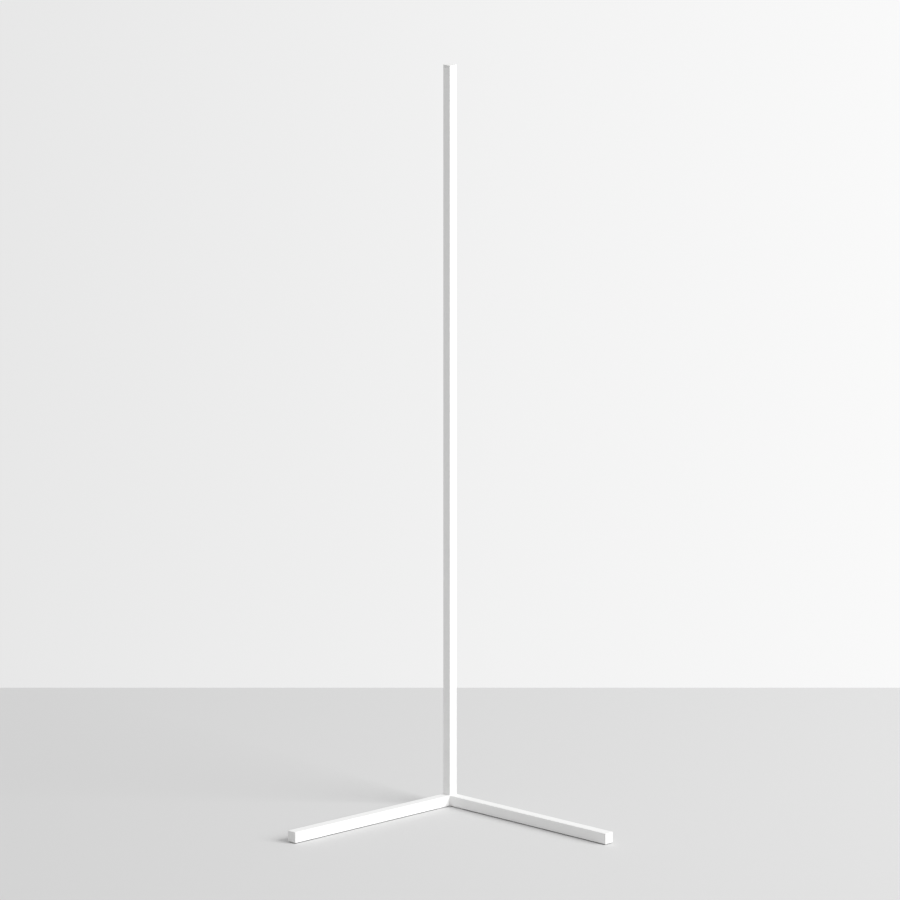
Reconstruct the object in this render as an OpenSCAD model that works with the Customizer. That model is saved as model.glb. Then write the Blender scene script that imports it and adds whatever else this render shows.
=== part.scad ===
// Corner floor lamp: a slim square post on an L of two square bars.
// Millimetres. Z up, the floor at z = 0, the post's axis at x = y = 0.
// One bar runs along +X and the other along -Y, into the room.
// The room's corner is toward (-X, +Y), where the post's light side faces.

/* [Overall] */
// Height from the floor to the highest corner of the cap
lamp_h = 1400; // [1000:10:1800]
// Reach of each bar, from the block's rear face to the bar's far end
reach = 405; // [300:5:500]

/* [Post extrusion] */
// Width of the square post
pole_w = 18; // [17.5:0.5:19.5]
// Thickness of the two outer walls
pole_wall = 1.3; // [1.1:0.1:1.6]
// Thickness of the 45 degree web
web_t = 1.6; // [1.4:0.1:2]
// Distance from the post's axis to the web's light side
web_setback = 1.9; // [1.6:0.1:2.4]
// Height of the lips that return along the rear faces
lip_h = 3; // [2.8:0.1:3.6]
// Thickness of the lips
lip_t = 1.2; // [1.1:0.1:1.5]
// Radius of the groove in each lip
groove_r = 0.45; // [0.4:0.05:0.5]
// Width of the two ribs beside the light strip
tray_rib_w = 0.6; // [0.4:0.1:0.8]
// Height of those ribs
tray_rib_h = 0.5; // [0.3:0.1:0.8]
// Radius of the edge nearest the room
near_edge_r = 0.5; // [0.3:0.1:0.8]
// Radius of the two side edges
side_edge_r = 0.8; // [0.5:0.1:1]

/* [Opal cover] */
// Wall of the cover
cover_wall = 1.3; // [1:0.1:1.6]
// Radius of its outer corner
cover_corner_r = 1.5; // [1:0.1:2]
// Radius of its inner corner
cover_inner_r = 0.6; // [0.4:0.1:0.8]
// Thickness of the clip hooks
hook_t = 0.9; // [0.7:0.1:1.1]
// Radius of the bead along each hook
bead_r = 0.35; // [0.3:0.05:0.4]
// Clearance between the cover and the extrusion
clip_gap = 0.12; // [0.1:0.01:0.2]
// Room left above the cover for it to grow when warm
cover_end_gap = 0.5; // [0.3:0.1:1]

/* [Light strip] */
// Width of the strip's board
strip_w = 10; // [8:0.5:10.5]
// Thickness of the board with its adhesive
board_t = 0.3; // [0.2:0.05:0.5]
// Distance from the block's top to the strip's lower end
strip_start = 30; // [26:1:45]
// Distance between neighbouring light packages
led_pitch = 16.667; // [12:0.001:20]
// Light packages between two cut marks
leds_per_cut = 3; // [3:1:4]
// Width of one light package across the strip
led_w = 2.8; // [2:0.1:4]
// Height of one light package along the strip
led_h = 3.5; // [2.5:0.1:5]
// Thickness of one light package
led_t = 0.8; // [0.6:0.1:1.4]
// Width of one resistor across the strip
resistor_w = 1.25; // [0.8:0.05:1.6]
// Height of one resistor along the strip
resistor_h = 2; // [1.6:0.1:3]
// Thickness of one resistor
resistor_t = 0.5; // [0.4:0.05:0.8]
// Width of one solder pad
solder_pad_w = 2; // [1.6:0.1:2.4]
// Height of one solder pad
solder_pad_h = 3.2; // [2.6:0.1:4]
// Thickness of one solder pad
solder_pad_t = 0.1; // [0.05:0.05:0.2]

/* [Cap] */
// Height of the cap over the edge nearest the room
cap_edge_h = 3; // [2.5:0.1:6]
// Rise of the cap's top from that edge to the rear edge
cap_drop = 8; // [2:0.5:12]
// Length of the plug in the extrusion's chamber
cap_plug_l = 12; // [11:0.5:18]
// Thickness of the rib that stands inside the cover
cap_rib_t = 1; // [0.8:0.1:1.4]
// Depth of that rib
cap_rib_l = 3; // [2:0.5:6]
// Clearance round the plug and the rib
cap_fit = 0.1; // [0.05:0.05:0.2]

/* [Bars] */
// Width of the bars and the corner block
leg_w = 20; // [19.5:0.5:24]
// Height of the bars and the corner block
leg_h = 19; // [18.5:0.5:22]
// Wall of the bars' steel tube
leg_wall = 2; // [1.8:0.1:2.5]
// Radius of the bars' long edges
leg_edge_r = 0.8; // [0.6:0.1:1.2]
// Radius inside the tube
leg_inner_r = 0.5; // [0.3:0.1:0.8]
// Thickness of the plate that closes a bar's end
end_plate_t = 3; // [2.5:0.5:5]
// Length of the end plug inside the tube
end_plug_l = 12; // [8:1:20]
// Wall of the end plug
end_plug_wall = 1.4; // [1:0.1:2]
// Width of the crush ribs along the end plug
crush_rib_w = 1; // [0.6:0.1:1.6]
// Distance of the crush ribs from the plug's corners
crush_rib_in = 2.5; // [2:0.1:3.5]
// Clearance of the tenons and plugs inside the tube
tube_fit = 0.15; // [0.1:0.05:0.25]

/* [Corner block] */
// Side walls of the hollow block
block_wall = 2.2; // [2:0.1:2.3]
// Roof below the post
block_roof = 3; // [2.5:0.1:3.2]
// Radius of the block's outer upright edge
block_corner_r = 1.5; // [1:0.1:2]
// Length of the tenons that enter the bars
tenon_l = 35; // [32:1:60]
// Width of the cored slot in each tenon
tenon_core_w = 6; // [4:0.5:8]
// Depth of the cored slot, from the tenon's top
tenon_core_h = 5; // [3:0.5:6]
// Metal left at each end of that slot
tenon_core_in = 3; // [2:0.5:5]
// Length of the spigot inside the post
spigot_l = 55; // [50:1:80]
// Clearance of the spigot in the extrusion's chamber
spigot_fit = 0.15; // [0.1:0.05:0.25]
// Thickness of the cover below the block
plate_t = 1.5; // [1.3:0.1:1.8]
// Ledge that the cover rests on
plate_ledge = 0.6; // [0.5:0.1:0.8]
// Clearance round the cover
plate_gap = 0.1; // [0.05:0.05:0.2]
// Radius of the bosses for the cover's screws
boss_r = 1.9; // [1.8:0.1:2.2]

/* [Pads] */
// Height of the rubber pads
pad_h = 1.2; // [1:0.1:3]
// Diameter of the pad below the block
corner_pad_d = 11; // [8:0.5:11]
// Width of the rubber strip below each bar
tread_w = 17; // [12:0.5:18]
// Distance from a bar's far end to its strip's end
tread_end_gap = 3; // [1:0.5:20]
// Distance from the last screw's head to the strip
tread_screw_gap = 2; // [1:0.5:20]
// Radius of the pads' lower edges
pad_edge_r = 0.4; // [0.2:0.1:0.8]

/* [Screws] */
// Diameter of the screws in the post's web
web_screw_d = 3; // [2.5:0.1:3.2]
// Head diameter of the screws in the web
web_head_d = 5.4; // [5:0.1:5.6]
// Length of the screws in the web
web_screw_l = 6.5; // [5.5:0.5:8]
// Height of the lower web screw above the block
web_screw_low = 12; // [8:1:16]
// Height of the upper web screw above the block
web_screw_high = 44; // [38:1:46]
// Distance from the post's top to the cap's screw
cap_screw_drop = 6; // [5:0.5:8]
// Diameter of the screws in the bars
leg_screw_d = 4; // [3:0.5:5]
// Head diameter of the screws in the bars
leg_head_d = 7.2; // [6.5:0.1:7.6]
// Length of the screws in the bars
leg_screw_l = 9; // [7:0.5:11]
// Distance from the block to the first bar screw
leg_screw_first = 10; // [8:1:14]
// Distance between the two bar screws
leg_screw_pitch = 16; // [10:1:17]
// Diameter of the cover's screws
plate_screw_d = 2.5; // [2:0.1:2.6]
// Head diameter of the cover's screws
plate_head_d = 4.2; // [3.8:0.1:4.4]
// Length of the cover's screws
plate_screw_l = 7; // [5:0.5:9]
// Socket across flats, as a share of the head's diameter
socket_share = 0.42; // [0.35:0.01:0.45]
// Depth of the socket, as a share of the head's height
socket_depth_share = 0.8; // [0.6:0.05:0.9]

/* [Power inlet] */
// Diameter of the threaded barrel
barrel_d = 7.8; // [7.6:0.1:8]
// Diameter of the flange outside the block
flange_d = 10.4; // [10:0.1:12]
// Thickness of the flange
flange_t = 1.6; // [1:0.1:2]
// Length from the flange's face to the barrel's inner end
inlet_l = 11.2; // [11:0.1:11.6]
// Diameter of the mouth
mouth_d = 5.6; // [5.5:0.1:5.8]
// Depth of the mouth
mouth_l = 9.5; // [9:0.1:9.8]
// Diameter of the centre pin
pin_d = 2; // [1.6:0.1:2.1]
// Distance of the pin's tip behind the mouth
pin_recess = 1.2; // [0.8:0.1:2]
// Room between the inlet's nut and the cover below it
nut_gap = 1.4; // [1.2:0.1:1.6]
// Clearance of the barrel in the block's wall
barrel_gap = 0.1; // [0.05:0.05:0.2]
// Nut across flats
nut_af = 10; // [9.5:0.1:10.2]
// Nut's thickness
nut_t = 2; // [1.5:0.1:2.5]
// Thickness of the outer contact and of both solder tags
contact_t = 0.5; // [0.4:0.05:0.6]
// Length of the solder tags
tag_l = 3; // [2.6:0.1:3.4]
// Width of the solder tags
tag_w = 1.7; // [1.4:0.1:2]
// Diameter of the insulator's inner neck
neck_d = 4.4; // [4:0.1:4.6]
// Length of that neck
neck_l = 1.1; // [0.9:0.1:1.3]

/* [Leads] */
// Outer diameter of the two leads
lead_d = 1.4; // [1.1:0.1:1.5]
// Half the distance between the leads in the grommet
lead_spread = 0.85; // [0.8:0.05:0.9]
// Half the distance between the leads on the strip
lead_pad_spread = 1.7; // [1.6:0.1:2]
// Radius of the grommet's hole
grommet_hole_r = 1.75; // [1.7:0.05:2]
// Radius of the hole in the block's roof
roof_hole_r = 2.8; // [2.5:0.1:3]
// Radius of the grommet's rims
grommet_rim_r = 3.5; // [3.2:0.1:3.8]
// Thickness of the grommet's rims
grommet_rim_t = 0.7; // [0.5:0.1:0.7]
// Distance from the post's axis to the grommet's axis
grommet_back = 4.4; // [4:0.1:4.8]

/* [Hidden] */
$fn = 48;
cut = 1;                       // how far a cutting shape runs past the face that it cuts
diagonal = sqrt(2);
pole_half = pole_w / 2;
leg_half = leg_w / 2;
base_z0 = pad_h;               // underside of the bars and the block
base_z1 = pad_h + leg_h;       // top of the bars and the block, where the post stands
cap_z0 = lamp_h - cap_drop - cap_edge_h;
pole_l = cap_z0 - base_z1;
bar_end = reach - leg_half;    // a bar's far end, from the post's axis
tube_l = bar_end - end_plate_t - leg_half;

// Depths along the diagonal: minus is toward the room, plus is toward the room's corner
near_depth = -pole_half * diagonal;
chamber_apex = -(pole_half - pole_wall) * diagonal;
web_light = -web_setback;
web_near = web_light - web_t;
blunt_w = 1;                   // taken off each narrow corner of what fills the chamber

// Opal cover
cover_z0 = base_z1;
cover_l = pole_l - cover_end_gap;
cover_start = -pole_half + lip_h + clip_gap;
hook_x = -pole_half + lip_t + clip_gap;
hook_start = -pole_half + pole_wall + 2 * clip_gap;
bead_y = (hook_start + cover_start) / 2;
hook_shoulder = 1.1 * hook_t;

// Light strip
strip_z0 = base_z1 + strip_start;
cut_l = led_pitch * leds_per_cut;
strip_top_gap = 4;             // at least this much bare web between the strip and the cap's plug
strip_cuts = floor((cap_z0 - cap_plug_l - strip_top_gap - strip_z0) / cut_l);
strip_l = strip_cuts * cut_l;
strip_face = web_light + board_t;
strip_side_gap = 0.2;
resistor_across = 2.6;
pad_lift = 0.6;

// Corner block
cavity_half = leg_half - block_wall;
cavity_z0 = base_z0 + plate_t;
cavity_z1 = base_z1 - block_roof;
recess_half = cavity_half + plate_ledge;
boss_at = cavity_half - boss_r;
tenon_w = leg_w - 2 * leg_wall - 2 * tube_fit;
tenon_h = leg_h - 2 * leg_wall - tube_fit;
tenon_z0 = base_z0 + leg_wall;
plug_w = leg_w - 2 * leg_wall - 2 * tube_fit;
plug_h = leg_h - 2 * leg_wall - 2 * tube_fit;
seated_r = leg_inner_r + 2 * tube_fit;  // clears the radius inside the tube

// Power inlet, along X in the block's rear wall
inlet_z = cavity_z0 + nut_gap + nut_af / 2;
inlet_face = -leg_half - flange_t;
barrel_end = inlet_face + inlet_l;
mouth_end = inlet_face + mouth_l;
neck_end = barrel_end + neck_l;
tag_end = neck_end + tag_l;
ring_tag_gap = 0.1;            // between the insulator's neck and the outer contact's tag
ring_tag_y = neck_d / 2 + ring_tag_gap;
ring_step = 0.2;               // the outer contact's ring is this much smaller all round than the barrel

// Leads
lead_sides = 8;
lead_flat = lead_d / 2 * cos(180 / lead_sides);
lead_room = 0.1;               // least room between a lead and what it passes
lane_z = cavity_z1 - grommet_rim_t - lead_d / 2 - lead_room;
turn_r = (lane_z - inlet_z) / 2;
turn_x = cavity_half - turn_r - lead_d / 2 - 2 * lead_room;
lie_depth = strip_face + solder_pad_t + lead_flat;

// ---- Places and directions ----

// Turns a shape so that its Y runs along the diagonal, from the room to the room's corner
module on_diagonal() {
    rotate(45)
        children();
}

// Repeats a shape on the other side of that diagonal
module both_sides() {
    children();
    mirror([1, 1, 0])
        children();
}

// Lays what is modelled for the bar along +X along -Y instead
module along_left() {
    rotate(-90)
        children();
}

// Puts the same shape at both bars
module at_both_bars() {
    children();
    along_left()
        children();
}

// A point given by its distances across and along the diagonal
function diagonal_point(across, depth, z) =
    [(across - depth) / diagonal, (across + depth) / diagonal, z];

// ---- Small shapes ----

// Cutter that leaves radius r on an outer corner; inward points from the corner into the shape
module corner_cut(at, inward, r) {
    difference() {
        translate([at.x + (inward.x - 1) * r / 2, at.y + (inward.y - 1) * r / 2])
            square(r);
        translate(at + inward * r)
            circle(r);
    }
}

// Rectangle about the origin with rounded corners
module rounded_rectangle(w, h, r) {
    difference() {
        square([w, h], center = true);
        for (sx = [-1, 1], sy = [-1, 1])
            corner_cut([sx * w / 2, sy * h / 2], [-sx, -sy], r);
    }
}

// Countersunk screw, its head's face at z = 0 and its shank toward -Z
module countersunk_screw(d, head_d, length) {
    head_h = (head_d - d) / 2;
    socket_d = head_d * socket_share / cos(30);
    difference() {
        union() {
            translate([0, 0, -head_h])
                cylinder(h = head_h, d1 = d, d2 = head_d);
            translate([0, 0, -length])
                cylinder(h = length - head_h, d = d);
        }
        translate([0, 0, -head_h * socket_depth_share])
            cylinder(h = head_h + cut, d = socket_d, $fn = 6);
    }
}

// Cutter for that screw's countersink and hole
module countersunk_hole(d, head_d, length) {
    head_h = (head_d - d) / 2;
    translate([0, 0, -head_h])
        cylinder(h = head_h, d1 = d, d2 = head_d);
    translate([0, 0, -length])
        cylinder(h = length, d = d);
}

// Places a web screw or its hole at height z, driven from the light side toward the room
module at_web(z) {
    on_diagonal()
        translate([0, web_light, z])
            rotate([-90, 0, 0])
                children();
}

// Places a bar screw or its hole, driven from below
module at_leg_screws() {
    for (i = [0, 1])
        translate([leg_half + leg_screw_first + i * leg_screw_pitch, 0, base_z0])
            rotate([180, 0, 0])
                children();
}

// Places the cover's screws or their holes, driven from below
module at_plate_screws() {
    for (side = [-1, 1])
        translate([boss_at, side * boss_at, base_z0])
            rotate([180, 0, 0])
                children();
}

// Round rubber pad with a rounded lower edge
module pad(d) {
    rotate_extrude()
        difference() {
            square([d / 2, pad_h]);
            corner_cut([d / 2, 0], [-1, 1], pad_edge_r);
        }
}

// Rubber strip below the bar along +X, extruded with rounded lower edges
module tread() {
    start = leg_half + leg_screw_first + leg_screw_pitch + leg_head_d / 2 + tread_screw_gap;
    translate([start, 0, 0])
        rotate([90, 0, 90])
            linear_extrude(bar_end - tread_end_gap - start)
                difference() {
                    translate([-tread_w / 2, 0])
                        square([tread_w, pad_h]);
                    for (side = [-1, 1])
                        corner_cut([side * tread_w / 2, 0], [-side, 1], pad_edge_r);
                }
}

// ---- Post ----

// What fills the three-cornered chamber between the web and the edge nearest the room:
// screwed against the web, clear of both walls, and blunt where the chamber narrows
module chamber_section(clearance) {
    apex = chamber_apex + clearance * diagonal;
    half_base = web_near - apex;
    intersection() {
        on_diagonal()
            polygon([[0, apex], [half_base, web_near], [-half_base, web_near]]);
        on_diagonal()
            translate([blunt_w - half_base, chamber_apex])
                square([2 * (half_base - blunt_w), web_near - chamber_apex]);
    }
}

// One outer wall with its lip; the other is its mirror image
module wall_section() {
    translate([-pole_half, -pole_half])
        square([pole_w, pole_wall]);
    translate([-pole_half, -pole_half])
        square([lip_t, lip_h]);
}

// Web at 45 degrees with the two ribs that place the light strip
module web_section() {
    rib_at = strip_w / 2 + strip_side_gap;
    intersection() {
        on_diagonal() {
            translate([-pole_w, web_near])
                square([2 * pole_w, web_t]);
            for (side = [-1, 1])
                translate([side * (rib_at + tray_rib_w / 2) - tray_rib_w / 2, web_light])
                    square([tray_rib_w, tray_rib_h]);
        }
        square(pole_w - pole_wall, center = true);
    }
}

module profile_section() {
    difference() {
        union() {
            both_sides()
                wall_section();
            web_section();
        }
        corner_cut([pole_half, -pole_half], [-1, 1], near_edge_r);
        both_sides() {
            corner_cut([-pole_half, -pole_half], [1, 1], side_edge_r);
            translate([-pole_half + lip_t, bead_y])
                circle(groove_r);
        }
    }
}

module pole_profile() {
    color("white")
        difference() {
            translate([0, 0, base_z1])
                linear_extrude(pole_l)
                    profile_section();
            for (up = [web_screw_low, web_screw_high])
                at_web(base_z1 + up)
                    countersunk_hole(web_screw_d, web_head_d, web_t + cut);
            at_web(cap_z0 - cap_screw_drop)
                countersunk_hole(web_screw_d, web_head_d, web_t + cut);
        }
}

// One wall of the opal cover with its hook; the other is its mirror image
module cover_half_section() {
    translate([-pole_half, cover_start])
        square([cover_wall, pole_half - cover_start]);
    translate([-pole_half, cover_start])
        square([hook_x + hook_t + pole_half, hook_shoulder]);
    translate([hook_x, hook_start])
        square([hook_t, cover_start + hook_shoulder - hook_start]);
    translate([hook_x, bead_y])
        circle(bead_r);
}

module diffuser() {
    inner = pole_half - cover_wall;
    color("whitesmoke")
        translate([0, 0, cover_z0])
            linear_extrude(cover_l)
                difference() {
                    union() {
                        both_sides()
                            cover_half_section();
                        corner_cut([-inner, inner], [1, -1], cover_inner_r);
                    }
                    corner_cut([-pole_half, pole_half], [1, -1], cover_corner_r);
                }
}

module strip_board() {
    color("ivory")
        on_diagonal()
            translate([-strip_w / 2, web_light, strip_z0])
                cube([strip_w, board_t, strip_l]);
}

module strip_leds() {
    color("gold")
        on_diagonal()
            for (i = [0 : strip_cuts * leds_per_cut - 1])
                translate([-led_w / 2, strip_face, strip_z0 + (i + 0.5) * led_pitch - led_h / 2])
                    cube([led_w, led_t, led_h]);
}

module strip_resistors() {
    color("dimgray")
        on_diagonal()
            for (i = [0 : strip_cuts - 1])
                translate([resistor_across, strip_face, strip_z0 + i * cut_l + led_pitch - resistor_h / 2])
                    cube([resistor_w, resistor_t, resistor_h]);
}

module strip_pads() {
    color("peru")
        on_diagonal()
            for (side = [-1, 1], i = [0 : strip_cuts - 1])
                translate([side * lead_pad_spread - solder_pad_w / 2, strip_face, strip_z0 + i * cut_l + pad_lift])
                    cube([solder_pad_w, solder_pad_t, solder_pad_h]);
}

// ---- Cap ----

module cap_outline() {
    difference() {
        square(pole_w, center = true);
        corner_cut([pole_half, -pole_half], [-1, 1], near_edge_r);
        both_sides()
            corner_cut([-pole_half, -pole_half], [1, 1], side_edge_r);
        corner_cut([-pole_half, pole_half], [1, -1], cover_corner_r);
    }
}

// The cap's rib just inside the opal cover
module cap_rib_section() {
    outer = pole_half - cover_wall - cap_fit - clip_gap;
    rib_start = hook_x + hook_t + lip_h;
    both_sides()
        translate([-outer, rib_start])
            square([cap_rib_t, outer - rib_start]);
}

module top_cap() {
    pitch = atan2(cap_drop, 2 * pole_half * diagonal);
    color("white")
        difference() {
            union() {
                translate([0, 0, cap_z0])
                    linear_extrude(cap_edge_h + cap_drop)
                        cap_outline();
                translate([0, 0, cap_z0 - cap_plug_l])
                    linear_extrude(cap_plug_l)
                        chamber_section(cap_fit);
                translate([0, 0, cap_z0 - cap_rib_l])
                    linear_extrude(cap_rib_l)
                        cap_rib_section();
            }
            on_diagonal()
                translate([0, near_depth, cap_z0 + cap_edge_h])
                    rotate([pitch, 0, 0])
                        translate([-pole_w, -pole_w, 0])
                            cube([2 * pole_w, 4 * pole_w, 2 * cap_drop + cut]);
            at_web(cap_z0 - cap_screw_drop)
                countersunk_hole(web_screw_d, web_head_d, web_screw_l);
        }
}

module cap_screw() {
    color("silver")
        at_web(cap_z0 - cap_screw_drop)
            countersunk_screw(web_screw_d, web_head_d, web_screw_l);
}

module pole_screws() {
    color("silver")
        for (up = [web_screw_low, web_screw_high])
            at_web(base_z1 + up)
                countersunk_screw(web_screw_d, web_head_d, web_screw_l);
}

// ---- Corner block ----

// Long cutter that rounds an edge along X at the given side and height
module long_edge_cut(side, up) {
    translate([-leg_w, 0, 0])
        rotate([90, 0, 90])
            linear_extrude(2 * leg_w)
                corner_cut([side * leg_half, up], [-side, up > base_z0 ? -1 : 1], leg_edge_r);
}

// The block's outside: rounded where it is free, square where the bars butt on it
module block_body() {
    difference() {
        translate([-leg_half, -leg_half, base_z0])
            cube([leg_w, leg_w, leg_h]);
        for (up = [base_z0, base_z1]) {
            both_sides()
                long_edge_cut(1, up);
            intersection() {
                long_edge_cut(-1, up);
                mirror([1, 1, 0])
                    long_edge_cut(-1, up);
            }
        }
        translate([0, 0, base_z0 - cut])
            linear_extrude(leg_h + 2 * cut)
                corner_cut([-leg_half, leg_half], [1, -1], block_corner_r);
    }
}

// Tenon for the bar along +X: it rests on the tube's lower wall and has a cored slot in its top
module tenon() {
    core_l = tenon_l - 2 * tenon_core_in;
    difference() {
        translate([cavity_half, 0, tenon_z0 + tenon_h / 2])
            rotate([90, 0, 90])
                linear_extrude(block_wall + tenon_l)
                    rounded_rectangle(tenon_w, tenon_h, seated_r);
        translate([leg_half + tenon_core_in, -tenon_core_w / 2, tenon_z0 + tenon_h - tenon_core_h])
            cube([core_l, tenon_core_w, tenon_core_h + cut]);
    }
}

module corner_block() {
    color("white")
        difference() {
            union() {
                difference() {
                    block_body();
                    translate([-cavity_half, -cavity_half, base_z0 - cut])
                        cube([2 * cavity_half, 2 * cavity_half, cavity_z1 - base_z0 + cut]);
                    translate([-recess_half, -recess_half, base_z0 - cut])
                        cube([2 * recess_half, 2 * recess_half, plate_t + cut]);
                }
                at_both_bars()
                    tenon();
                for (side = [-1, 1])
                    translate([boss_at, side * boss_at, cavity_z0])
                        boss(side);
                translate([0, 0, base_z1 - block_roof])
                    linear_extrude(block_roof + spigot_l)
                        chamber_section(spigot_fit);
            }
            at_both_bars()
                at_leg_screws()
                    countersunk_hole(leg_screw_d, leg_head_d, leg_screw_l);
            at_plate_screws()
                translate([0, 0, -plate_screw_l])
                    cylinder(h = plate_screw_l, d = plate_screw_d);
            for (up = [web_screw_low, web_screw_high])
                at_web(base_z1 + up)
                    countersunk_hole(web_screw_d, web_head_d, web_screw_l);
            translate([-leg_half - cut, 0, inlet_z])
                rotate([0, 90, 0])
                    cylinder(h = block_wall + 2 * cut, d = barrel_d + 2 * barrel_gap);
            on_diagonal()
                translate([0, grommet_back, cavity_z1 - cut])
                    cylinder(h = block_roof + 2 * cut, r = roof_hole_r);
        }
}

// Boss in the block's corner for one of the cover's screws, from the cover up to the roof
module boss(side) {
    boss_h = cavity_z1 - cavity_z0 + cut;
    cylinder(h = boss_h, r = boss_r);
    translate([0, side > 0 ? 0 : -boss_r, 0])
        cube([boss_r, boss_r, boss_h]);
}

module bottom_plate() {
    plate_half = recess_half - plate_gap;
    color("white")
        difference() {
            translate([-plate_half, -plate_half, base_z0])
                cube([2 * plate_half, 2 * plate_half, plate_t]);
            at_plate_screws()
                countersunk_hole(plate_screw_d, plate_head_d, plate_t + cut);
        }
}

module plate_screws() {
    color("silver")
        at_plate_screws()
            countersunk_screw(plate_screw_d, plate_head_d, plate_screw_l);
}

module corner_pad() {
    color("dimgray")
        pad(corner_pad_d);
}

// ---- Bars ----

// Rectangular tube with the two countersunk holes below the tenon
module leg_tube() {
    difference() {
        translate([leg_half, 0, base_z0 + leg_h / 2])
            rotate([90, 0, 90])
                linear_extrude(tube_l)
                    difference() {
                        rounded_rectangle(leg_w, leg_h, leg_edge_r);
                        rounded_rectangle(leg_w - 2 * leg_wall, leg_h - 2 * leg_wall, leg_inner_r);
                    }
        at_leg_screws()
            countersunk_hole(leg_screw_d, leg_head_d, leg_screw_l);
    }
}

module leg_right() {
    color("white")
        leg_tube();
}

module leg_left() {
    color("white")
        along_left()
            leg_tube();
}

// End plate, rounded on every outer edge, with a hollow plug that enters the tube
module leg_end() {
    plate_x = bar_end - end_plate_t;
    middle_z = base_z0 + leg_h / 2;
    intersection() {
        translate([plate_x, 0, middle_z])
            rotate([90, 0, 90])
                linear_extrude(end_plate_t)
                    rounded_rectangle(leg_w, leg_h, leg_edge_r);
        translate([bar_end - leg_w / 2, 0, base_z0])
            linear_extrude(leg_h)
                rounded_rectangle(leg_w, leg_w, leg_edge_r);
        translate([bar_end - leg_w / 2, leg_half, middle_z])
            rotate([90, 0, 0])
                linear_extrude(leg_w)
                    rounded_rectangle(leg_w, leg_h, leg_edge_r);
    }
    translate([plate_x - end_plug_l, 0, middle_z])
        rotate([90, 0, 90])
            linear_extrude(end_plug_l)
                plug_section();
}

// The hollow plug with two crush ribs on each side, which fill its clearance in the tube
module plug_section() {
    difference() {
        union() {
            rounded_rectangle(plug_w, plug_h, seated_r);
            for (side = [-1, 1]) {
                translate([side * (plug_w / 2 - crush_rib_in) - crush_rib_w / 2, -plug_h / 2 - tube_fit])
                    square([crush_rib_w, plug_h + 2 * tube_fit]);
                translate([-plug_w / 2 - tube_fit, side * (plug_h / 2 - crush_rib_in) - crush_rib_w / 2])
                    square([plug_w + 2 * tube_fit, crush_rib_w]);
            }
        }
        square([plug_w - 2 * end_plug_wall, plug_h - 2 * end_plug_wall], center = true);
    }
}

module leg_right_cap() {
    color("white")
        leg_end();
}

module leg_left_cap() {
    color("white")
        along_left()
            leg_end();
}

module leg_right_pad() {
    color("dimgray")
        tread();
}

module leg_left_pad() {
    color("dimgray")
        along_left()
            tread();
}

module leg_screws() {
    color("silver")
        at_both_bars()
            at_leg_screws()
                countersunk_screw(leg_screw_d, leg_head_d, leg_screw_l);
}

// ---- Power inlet ----

// Places a shape that is modelled along +Z at the given distance along the inlet's axis
module along_inlet(x) {
    translate([x, 0, inlet_z])
        rotate([0, 90, 0])
            children();
}

module inlet_shell() {
    color("silver")
        difference() {
            union() {
                along_inlet(inlet_face)
                    cylinder(h = flange_t, d = flange_d);
                along_inlet(inlet_face)
                    cylinder(h = inlet_l, d = barrel_d);
            }
            along_inlet(inlet_face - cut)
                cylinder(h = inlet_l + 2 * cut, d = mouth_d);
        }
}

module inlet_insert() {
    color("black")
        difference() {
            union() {
                along_inlet(mouth_end)
                    cylinder(h = barrel_end - mouth_end, d = mouth_d);
                along_inlet(mouth_end)
                    cylinder(h = neck_end - mouth_end, d = neck_d);
            }
            along_inlet(mouth_end - cut)
                cylinder(h = neck_end - mouth_end + 2 * cut, d = pin_d);
        }
}

module inlet_pin() {
    color("gold") {
        along_inlet(inlet_face + pin_recess)
            cylinder(h = neck_end - inlet_face - pin_recess, d = pin_d);
        translate([neck_end - contact_t, -contact_t / 2, inlet_z - tag_w / 2])
            cube([tag_l + contact_t, contact_t, tag_w]);
    }
}

// Ring on the barrel's inner end, with a tag bent back from its edge
module inlet_sleeve_tag() {
    color("gold")
        difference() {
            union() {
                along_inlet(barrel_end)
                    cylinder(h = contact_t, d = barrel_d - 2 * ring_step);
                translate([barrel_end, ring_tag_y, inlet_z - tag_w / 2])
                    cube([tag_end - barrel_end, contact_t, tag_w]);
            }
            along_inlet(barrel_end - cut)
                cylinder(h = contact_t + 2 * cut, d = neck_d);
        }
}

module inlet_nut() {
    color("silver")
        along_inlet(-cavity_half)
            difference() {
                rotate(30)
                    cylinder(h = nut_t, d = nut_af / cos(30), $fn = 6);
                translate([0, 0, -cut])
                    cylinder(h = nut_t + 2 * cut, d = barrel_d);
            }
}

// ---- Leads ----

// Smooth curve through points, with steps between each pair
function catmull(a, b, c, d, t) =
    0.5 * (2 * b + (c - a) * t + (2 * a - 5 * b + 4 * c - d) * t * t + (3 * b - a - 3 * c + d) * t * t * t);
function before(points, i) = i > 0 ? points[i - 1] : 2 * points[0] - points[1];
function after(points, i) =
    i + 2 < len(points) ? points[i + 2] : 2 * points[len(points) - 1] - points[len(points) - 2];
function smooth(points, steps) = [
    for (i = [0 : len(points) - 2], k = [0 : steps - 1])
        catmull(before(points, i), points[i], points[i + 1], after(points, i), k / steps),
    points[len(points) - 1]
];

// Ring of the tube about one point; the sides stay square to Y, so flats meet what they lie on
function unit(v) = v / norm(v);
function ring(at, along, r) =
    let (u = unit(cross([0, 1, 0], along)), v = cross(along, u))
    [for (k = [0 : lead_sides - 1])
        at + r * (cos((k + 0.5) * 360 / lead_sides) * u + sin((k + 0.5) * 360 / lead_sides) * v)];

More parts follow.
